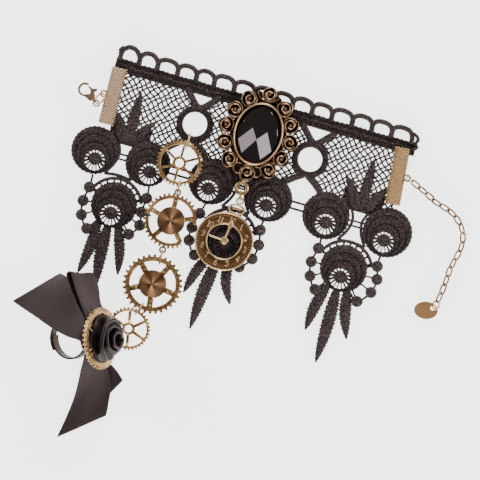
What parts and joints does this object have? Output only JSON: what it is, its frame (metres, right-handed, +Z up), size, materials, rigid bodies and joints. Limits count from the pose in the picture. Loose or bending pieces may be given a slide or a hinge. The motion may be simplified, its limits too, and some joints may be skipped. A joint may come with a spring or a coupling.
{
  "type": "lace cuff bracelet",
  "caption": "Black lace cuff laid open, with scalloped edge, brass clamps, chain, cameo, clock charm, gears and a satin bow ring.",
  "frame": {"origin": "flat underside of the lace beneath the middle of the stone", "axes": "+X along the band from the clasp towards the chain, +Y across it towards the scallops, +Z up from the flat underside"},
  "size_m": [0.1844, 0.1737, 0.0265],
  "materials": {
    "lace": "matt stitched thread",
    "satin": "satin",
    "thread": "matt",
    "jet": "polished facets",
    "antique_brass": "antiqued",
    "cast_brass": "antiqued copper-brown cast",
    "pale_brass": "bright",
    "golden_brass": "bright",
    "dark_brass": "dark antiqued"
  },
  "bodies": {
    "cuff": {"lace": "lace", "clamp_left": "pale_brass", "clamp_right": "golden_brass", "clasp_ring": "golden_brass", "clasp_body": "golden_brass", "chain_ring": "golden_brass", "link_01": "golden_brass", "link_02": "golden_brass", "link_03": "golden_brass", "link_04": "golden_brass", "link_05": "golden_brass", "link_06": "golden_brass", "link_07": "golden_brass", "link_08": "golden_brass", "link_09": "golden_brass", "link_10": "golden_brass", "link_11": "golden_brass", "link_12": "golden_brass", "link_13": "golden_brass", "link_14": "golden_brass", "link_15": "golden_brass", "link_16": "golden_brass", "tag_ring": "golden_brass", "chain_tag": "pale_brass", "cameo_frame": "cast_brass", "stone": "jet", "drop_ring": "cast_brass", "drop_link": "cast_brass", "clock": "cast_brass", "gear_1": "antique_brass", "gear_2": "antique_brass", "cone_2": "dark_brass", "gear_3": "antique_brass", "cone_3": "dark_brass", "gear_4": "antique_brass", "gear_hanger": "golden_brass", "join_ring_1": "golden_brass", "join_ring_2": "golden_brass", "join_ring_3": "golden_brass", "thread_loop": "thread", "gear_5": "antique_brass", "finger_ring": "dark_brass", "satin_rose": "satin", "bow_loop": "satin", "ribbon_tail_left": "satin", "ribbon_tail_lower": "satin", "ribbon_tail_right": "satin"},
    "lever": {"clasp_lever": "golden_brass"}
  },
  "joints": [
    {"name": "clasp_lever_hinge", "type": "hinge", "parent": "cuff", "child": "lever", "pos_m": [-0.07468, -0.00318, 0.00232], "axis": [-0.0716, 0.0497, 0.9962], "range_deg": [0, 27], "stiffness_Nm_per_rad": 0.002, "springref_deg": -11.46}
  ]
}
